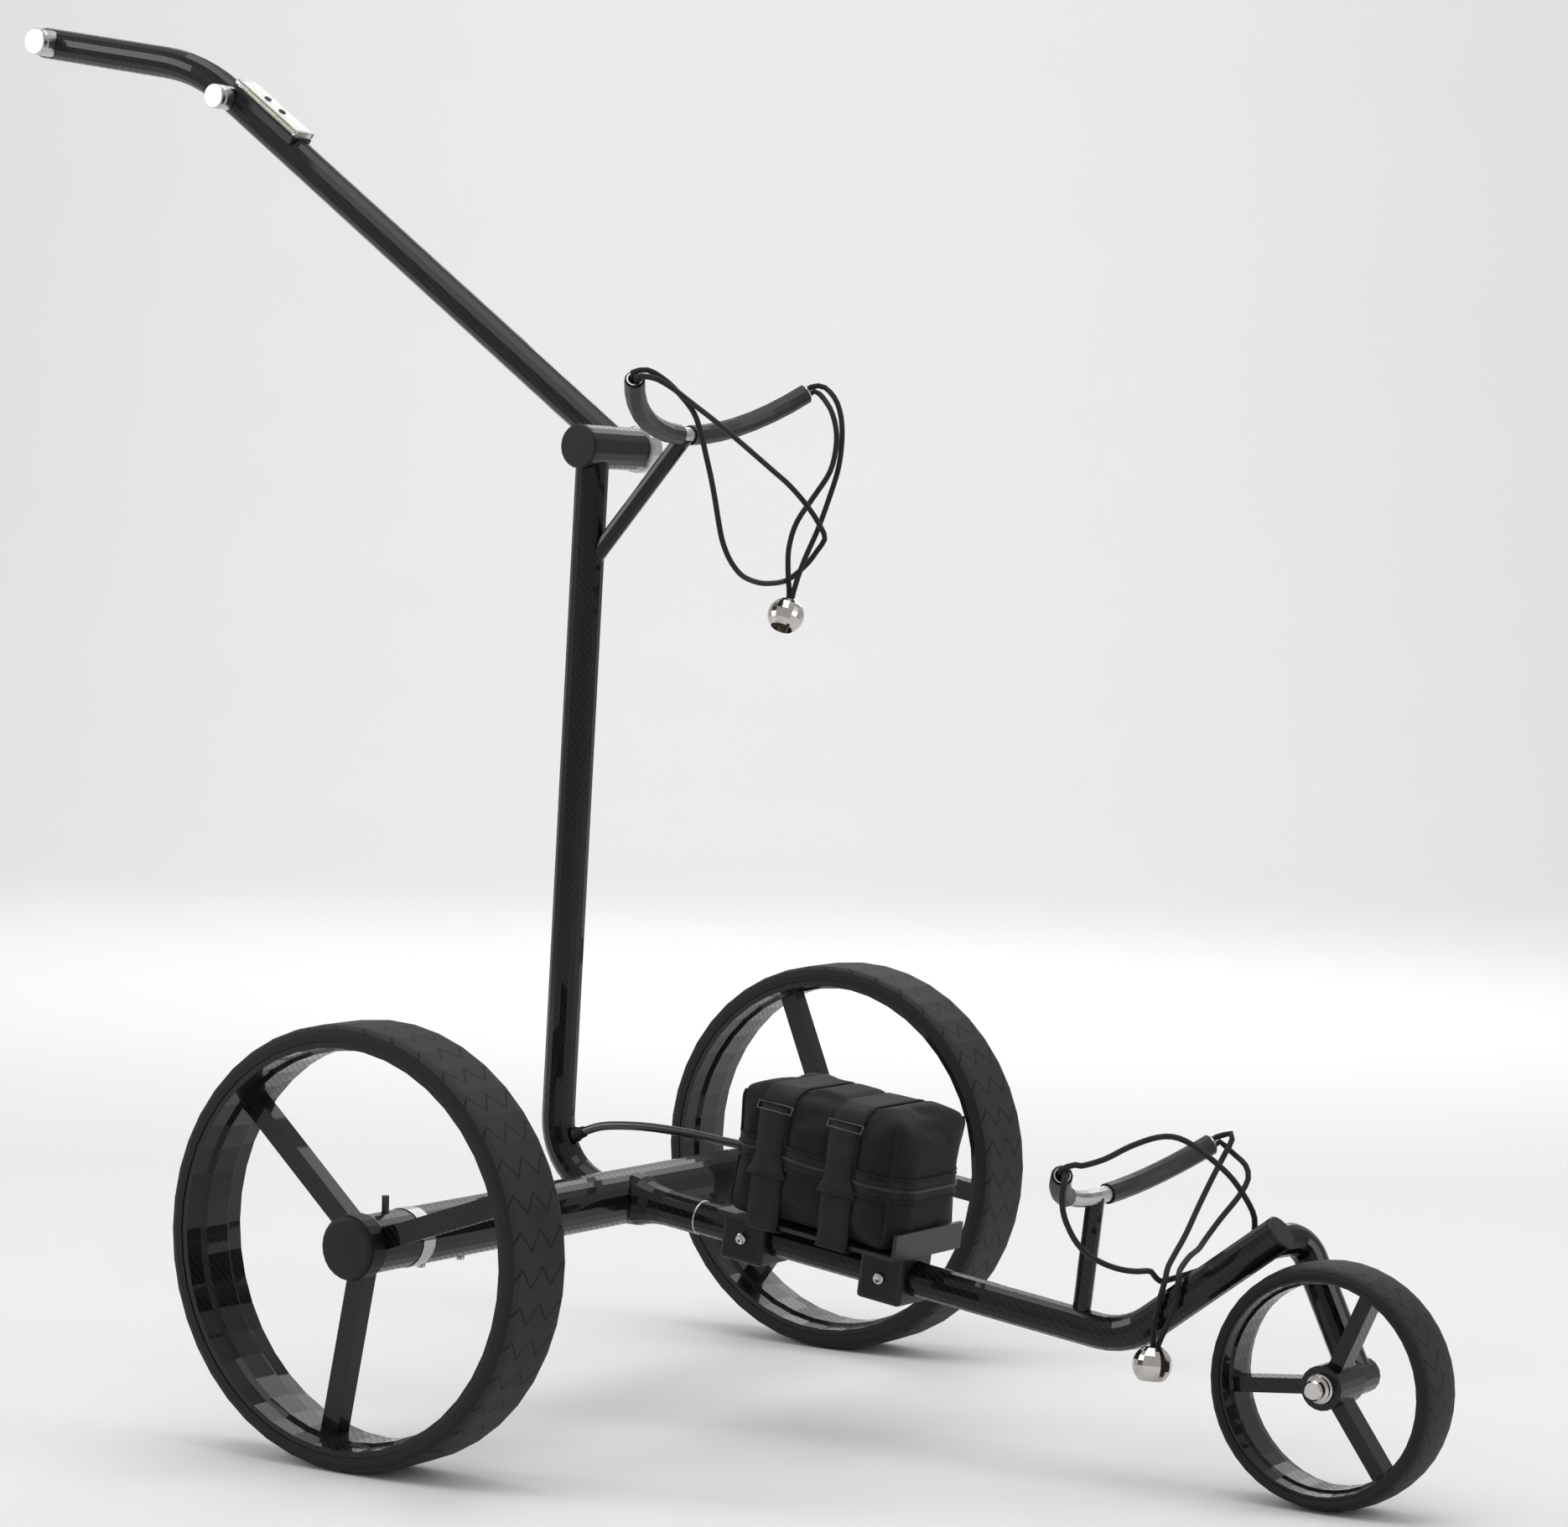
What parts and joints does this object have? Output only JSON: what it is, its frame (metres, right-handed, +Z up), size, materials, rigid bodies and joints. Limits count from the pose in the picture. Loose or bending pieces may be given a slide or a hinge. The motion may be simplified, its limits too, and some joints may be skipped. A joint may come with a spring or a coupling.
{
  "type": "electric golf trolley",
  "caption": "Three-wheeled carbon-tube electric golf trolley with folding handle, in-axle motors, battery bag on the front frame and curved bag brackets with elastic loops.",
  "frame": {"origin": "on the floor, under the middle of the trolley's length and width without its elastic cords", "axes": "+X is the way the trolley travels, +Y its left side, +Z up"},
  "size_m": [1.2753, 0.6428, 1.0343],
  "materials": {
    "carbon": "clear-coated black woven carbon",
    "tyre_rubber": "matte black with a fine tread",
    "soft_rubber": "satin black",
    "black_plastic": "satin black",
    "aluminium": "turned and lightly brushed",
    "polished_steel": "mirror polished",
    "steel": "machined",
    "circuit_board": "yellow-green laminate",
    "clear_plastic": "clear moulded plastic",
    "nylon": "padded black nylon",
    "webbing": "woven black strap",
    "elastic": "braided black elastic cord",
    "cable_sheath": "smooth black cable",
    "cell_wrap": "shrink-wrapped battery pack"
  },
  "bodies": {
    "chassis": {"axle_collar_left": "aluminium", "axle_collar_right": "aluminium", "axle_tube": "carbon", "bag_strap_front": "webbing", "bag_strap_rear": "webbing", "barrel_cap": "black_plastic", "battery_bag": "nylon", "battery_lead": "cable_sheath", "battery_pack": "cell_wrap", "battery_tray": "black_plastic", "bracket_post": "carbon", "bracket_strut": "carbon", "column_barrel": "carbon", "column_tube": "carbon", "front_axle": "steel", "front_fork": "carbon", "front_tube": "carbon", "front_tube_cap": "black_plastic", "gear_motor_left": "steel", "gear_motor_right": "steel", "hinge_pin": "steel", "lower_ball": "polished_steel", "lower_cord_left": "elastic", "lower_cord_right": "elastic", "lower_saddle": "aluminium", "lower_sleeve_left": "soft_rubber", "lower_sleeve_right": "soft_rubber", "nose_nut": "polished_steel", "socket_lug": "carbon", "tracking_screw": "polished_steel", "tray_clamp_front": "black_plastic", "tray_clamp_rear": "black_plastic", "upper_ball": "polished_steel", "upper_cord_left": "elastic", "upper_cord_right": "elastic", "upper_saddle": "aluminium", "upper_sleeve_left": "soft_rubber", "upper_sleeve_right": "soft_rubber"},
    "handle": {"handle_tube": "carbon", "handle_barrel": "carbon", "console_base": "black_plastic", "console_board": "circuit_board", "console_cover": "clear_plastic"},
    "front_wheel": {"tyre_front": "tyre_rubber", "rim_front": "carbon"},
    "right_wheel": {"tyre_right": "tyre_rubber", "rim_right": "carbon", "hub_cap_right": "soft_rubber", "drive_shaft_right": "steel"},
    "left_wheel": {"tyre_left": "tyre_rubber", "rim_left": "carbon", "hub_cap_left": "soft_rubber", "drive_shaft_left": "steel"},
    "right_release_pin": {"release_pin_right": "soft_rubber"},
    "left_release_pin": {"release_pin_left": "soft_rubber"},
    "clamp_knob": {"clamp_knob": "aluminium"},
    "speed_knob": {"speed_knob": "aluminium"},
    "power_knob": {"power_knob": "aluminium"},
    "button_up": {"console_button_up": "soft_rubber"},
    "button_down": {"console_button_down": "soft_rubber"}
  },
  "joints": [
    {"name": "handle_fold", "type": "hinge", "parent": "chassis", "child": "handle", "pos_m": [-0.055, 0.0313, 0.6944], "axis": [0, -1, 0], "range_deg": [-15, 105]},
    {"name": "clamp_knob_turn", "type": "hinge", "parent": "chassis", "child": "clamp_knob", "pos_m": [-0.055, 0.055, 0.6944], "axis": [0, 1, 0], "range_deg": [0, 360]},
    {"name": "speed_knob_turn", "type": "hinge", "parent": "handle", "child": "speed_knob", "pos_m": [-0.62164, 0.0313, 1.02005], "axis": [0, 1, 0], "range_deg": [-150, 150]},
    {"name": "power_knob_press", "type": "slide", "parent": "handle", "child": "power_knob", "axis": [0, 1, 0], "range_m": [0, 0.0012], "stiffness_N_per_m": 900},
    {"name": "button_up_press", "type": "slide", "parent": "handle", "child": "button_up", "axis": [-0.5878, 0, -0.809], "range_m": [0, 0.0005], "stiffness_N_per_m": 600},
    {"name": "button_down_press", "type": "slide", "parent": "handle", "child": "button_down", "axis": [-0.5878, 0, -0.809], "range_m": [0, 0.0005], "stiffness_N_per_m": 600},
    {"name": "front_wheel_spin", "type": "hinge", "parent": "chassis", "child": "front_wheel", "pos_m": [0.5564, 0, 0.0814], "axis": [0, 1, 0], "continuous": true},
    {"name": "right_wheel_spin", "type": "hinge", "parent": "chassis", "child": "right_wheel", "pos_m": [-0.0178, -0.2932, 0.15], "axis": [0, 1, 0], "continuous": true},
    {"name": "left_wheel_spin", "type": "hinge", "parent": "chassis", "child": "left_wheel", "pos_m": [-0.0178, 0.2932, 0.15], "axis": [0, 1, 0], "continuous": true},
    {"name": "right_pin_pull", "type": "slide", "parent": "right_wheel", "child": "right_release_pin", "axis": [0, 0, 1], "range_m": [0, 0.003], "stiffness_N_per_m": 500},
    {"name": "left_pin_pull", "type": "slide", "parent": "left_wheel", "child": "left_release_pin", "axis": [0, 0, 1], "range_m": [0, 0.003], "stiffness_N_per_m": 500}
  ]
}
